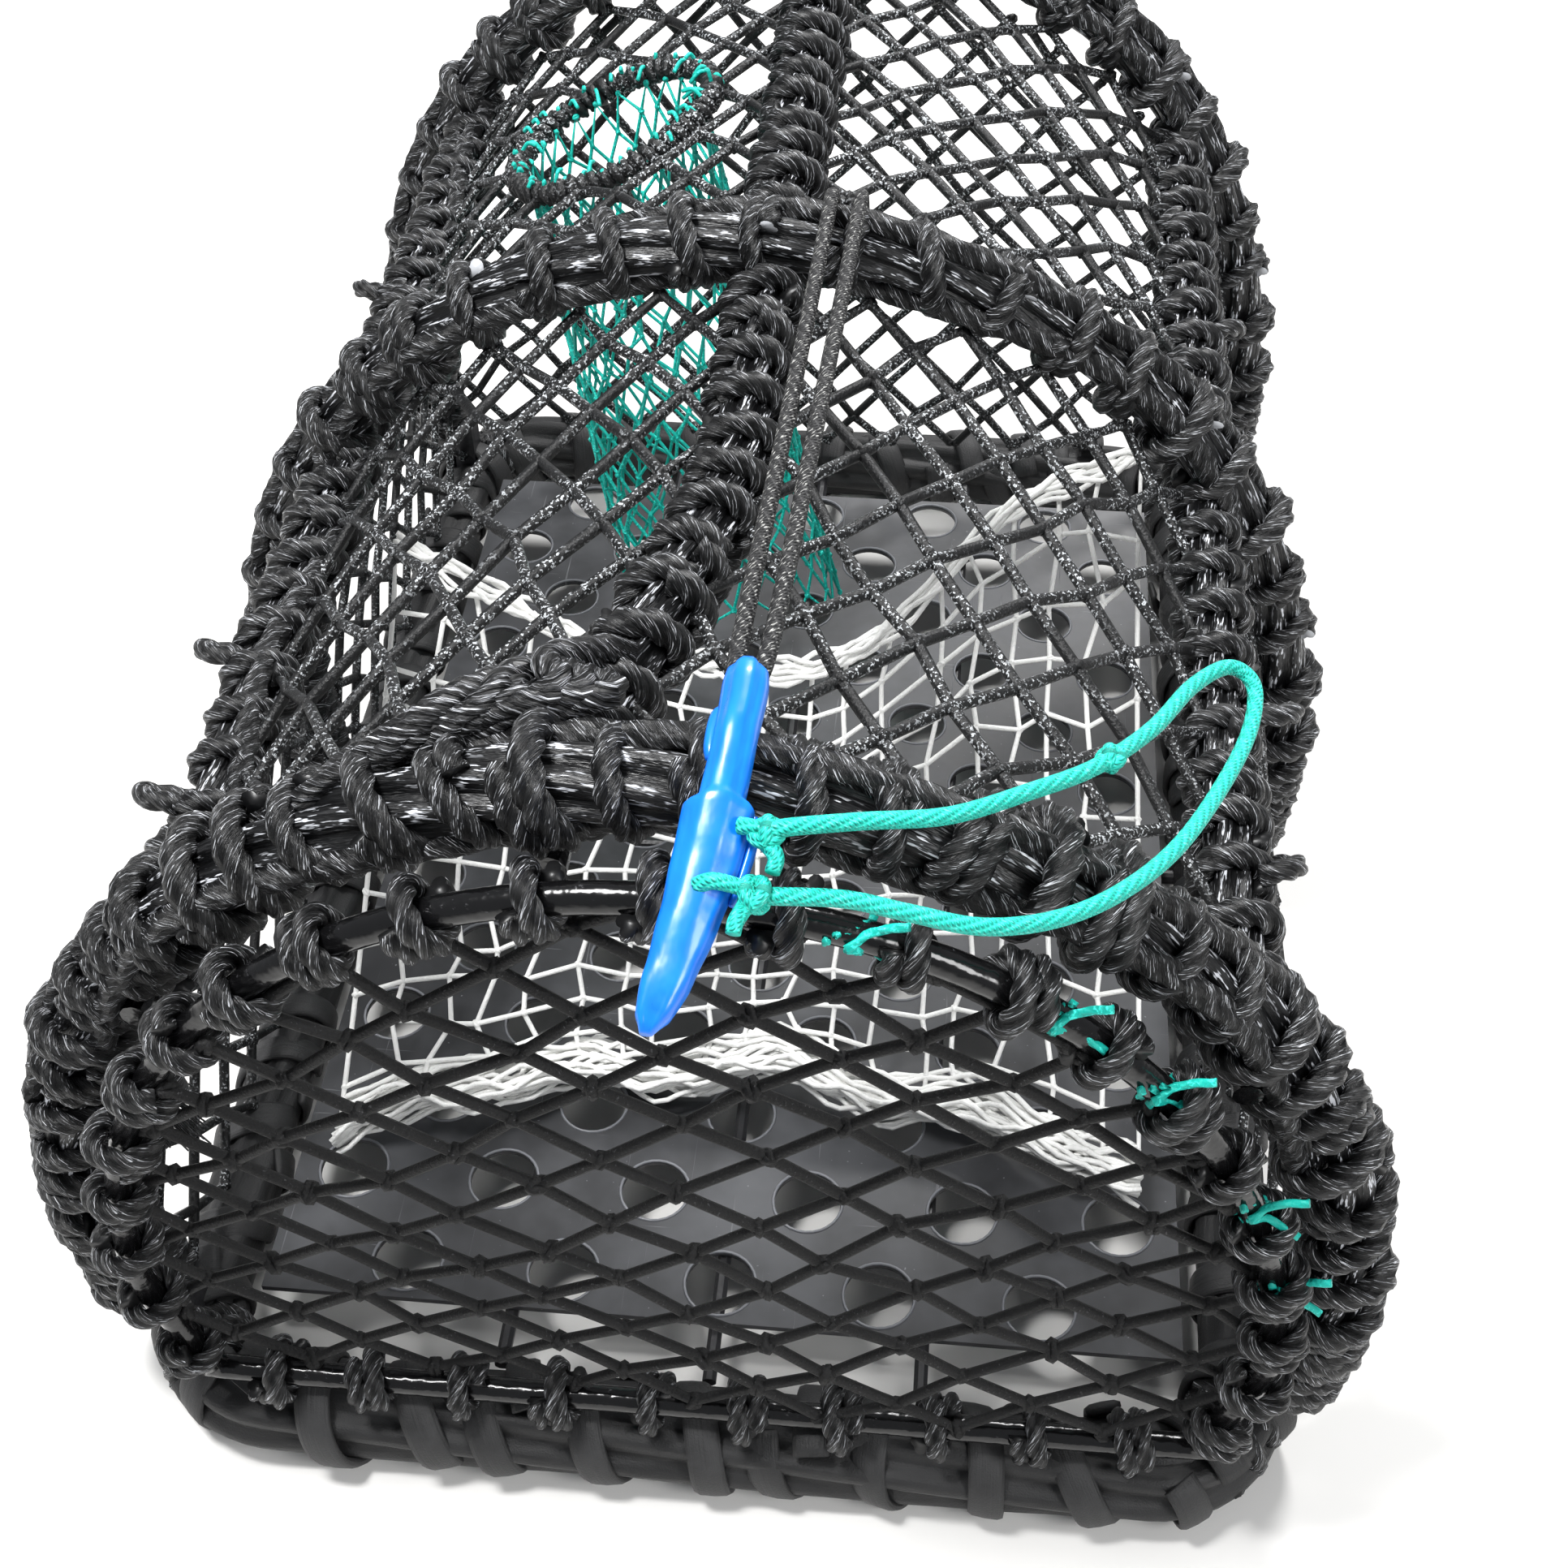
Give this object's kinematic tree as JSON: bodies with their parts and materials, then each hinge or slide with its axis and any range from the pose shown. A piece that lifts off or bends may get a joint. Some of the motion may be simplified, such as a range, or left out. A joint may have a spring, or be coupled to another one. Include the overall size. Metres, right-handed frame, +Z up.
{
  "type": "folding netted trap",
  "caption": "Folding netted crab trap: hinged hoops on a rubber-wrapped base, perforated floor, end door held by a bungee hook.",
  "frame": {"origin": "on the ground, under the middle of the trap's box, pull loop left out", "axes": "+Y towards the far end along the trap's length, the door end is -Y, +Z up"},
  "size_m": [0.4848, 0.698, 0.3934],
  "materials": {
    "coated_bar": "black plastic coating over steel bar, satin",
    "black_rope": "three-strand split-film rope, black with silver glints",
    "rubber": "matte black strip",
    "black_twine": "braided and knotted polyethylene twine",
    "floor_plastic": "dark grey sheet, satin, finely scratched",
    "steel": "dark painted steel",
    "white_twine": "fine white knotted twine",
    "teal_twine": "teal knotted twine",
    "hook_plastic": "moulded blue plastic",
    "bungee": "woven cover with light flecks",
    "pull_cord": "turquoise braid"
  },
  "bodies": {
    "base": {"base_bar_far": "coated_bar", "base_bar_left": "coated_bar", "base_bar_near": "coated_bar", "base_bar_right": "coated_bar", "base_rubber_far": "rubber", "base_rubber_left_far": "rubber", "base_rubber_left_near": "rubber", "base_rubber_near": "rubber", "base_rubber_right_far": "rubber", "base_rubber_right_near": "rubber", "floor_cross_rod": "steel", "floor_plate": "floor_plastic", "floor_rod_centre": "steel", "floor_rod_left": "steel", "floor_rod_right": "steel", "hinge_lug_far_left": "steel", "hinge_lug_far_right": "steel", "hinge_lug_mid_left": "steel", "hinge_lug_mid_right": "steel", "hinge_lug_near_left": "steel", "hinge_lug_near_right": "steel", "parlour_net": "white_twine", "side_net_far_left": "black_twine", "side_net_far_right": "black_twine", "side_net_near_left": "black_twine", "side_net_near_right": "black_twine"},
    "near_hoop": {"near_crown_rope": "black_rope", "near_hoop_bar": "coated_bar", "near_left_leg_rope": "black_rope", "near_right_leg_rope": "black_rope"},
    "mid_hoop": {"mid_crown_rope": "black_rope", "mid_hoop_bar": "coated_bar", "mid_left_leg_rope": "black_rope", "mid_right_leg_rope": "black_rope"},
    "far_hoop": {"far_crown_rope": "black_rope", "far_end_net": "black_twine", "far_hoop_bar": "coated_bar", "far_left_leg_rope": "black_rope", "far_right_leg_rope": "black_rope"},
    "ridge": {"entrance_funnel": "teal_twine", "entrance_ring": "black_twine", "ridge_bar": "coated_bar", "ridge_rope_far": "black_rope", "ridge_rope_near": "black_rope", "roof_net_far_left": "black_twine", "roof_net_far_right": "black_twine", "roof_net_near_left": "black_twine", "roof_net_near_right": "black_twine"},
    "left_rail": {"left_rail_bar": "coated_bar", "left_rail_rope_far": "black_rope", "left_rail_rope_near": "black_rope"},
    "right_rail": {"right_rail_bar": "coated_bar", "right_rail_rope_far": "black_rope", "right_rail_rope_near": "black_rope"},
    "door": {"door_frame": "coated_bar", "door_net": "black_twine"},
    "bungee_loop": {"bungee_loop": "bungee"},
    "hook": {"bungee_cord": "bungee", "door_hook": "hook_plastic", "pull_loop": "pull_cord"}
  },
  "joints": [
    {"name": "mid_hoop_fold", "type": "hinge", "parent": "base", "child": "mid_hoop", "pos_m": [0, 0.0145, 0.05], "axis": [-1, 0, 0], "range_deg": [0, 78], "deforming": ["roof_net_far_left", "roof_net_far_right", "roof_net_near_left", "roof_net_near_right", "side_net_far_left", "side_net_far_right", "side_net_near_left", "side_net_near_right", "far_end_net", "parlour_net", "entrance_funnel", "pull_loop"]},
    {"name": "near_hoop_fold", "type": "hinge", "parent": "base", "child": "near_hoop", "pos_m": [0, -0.2705, 0.05], "axis": [-1, 0, 0], "range_deg": [0, 78]},
    {"name": "far_hoop_fold", "type": "hinge", "parent": "base", "child": "far_hoop", "pos_m": [0, 0.2995, 0.05], "axis": [-1, 0, 0], "range_deg": [0, 78]},
    {"name": "ridge_level", "type": "hinge", "parent": "mid_hoop", "child": "ridge", "pos_m": [0, 0.0145, 0.366], "axis": [-1, 0, 0], "range_deg": [-78, 0]},
    {"name": "left_rail_level", "type": "hinge", "parent": "mid_hoop", "child": "left_rail", "pos_m": [-0.178, 0.0145, 0.275], "axis": [-1, 0, 0], "range_deg": [-78, 0]},
    {"name": "right_rail_level", "type": "hinge", "parent": "mid_hoop", "child": "right_rail", "pos_m": [0.178, 0.0145, 0.275], "axis": [-1, 0, 0], "range_deg": [-78, 0]},
    {"name": "door_hinge", "type": "hinge", "parent": "near_hoop", "child": "door", "pos_m": [0, -0.3035, 0.052], "axis": [1, 0, 0], "range_deg": [0, 90]},
    {"name": "hook_release", "type": "hinge", "parent": "ridge", "child": "bungee_loop", "pos_m": [0, 0.0145, 0.36401], "axis": [-1, 0, 0], "range_deg": [0, 155]},
    {"name": "hook_ride", "type": "hinge", "parent": "bungee_loop", "child": "hook", "pos_m": [0, 0.0145, 0.36401], "axis": [-1, 0, 0], "range_deg": [0, 10]}
  ],
  "couplings": [
    {"joint": "near_hoop_fold", "follows": "mid_hoop_fold", "ratio": 1},
    {"joint": "far_hoop_fold", "follows": "mid_hoop_fold", "ratio": 1},
    {"joint": "ridge_level", "follows": "mid_hoop_fold", "ratio": -1},
    {"joint": "left_rail_level", "follows": "mid_hoop_fold", "ratio": -1},
    {"joint": "right_rail_level", "follows": "mid_hoop_fold", "ratio": -1},
    {"joint": "hook_ride", "follows": "mid_hoop_fold", "ratio": 0.125},
    {"joint": "hook_release", "follows": "door_hinge", "ratio": 1.72}
  ]
}
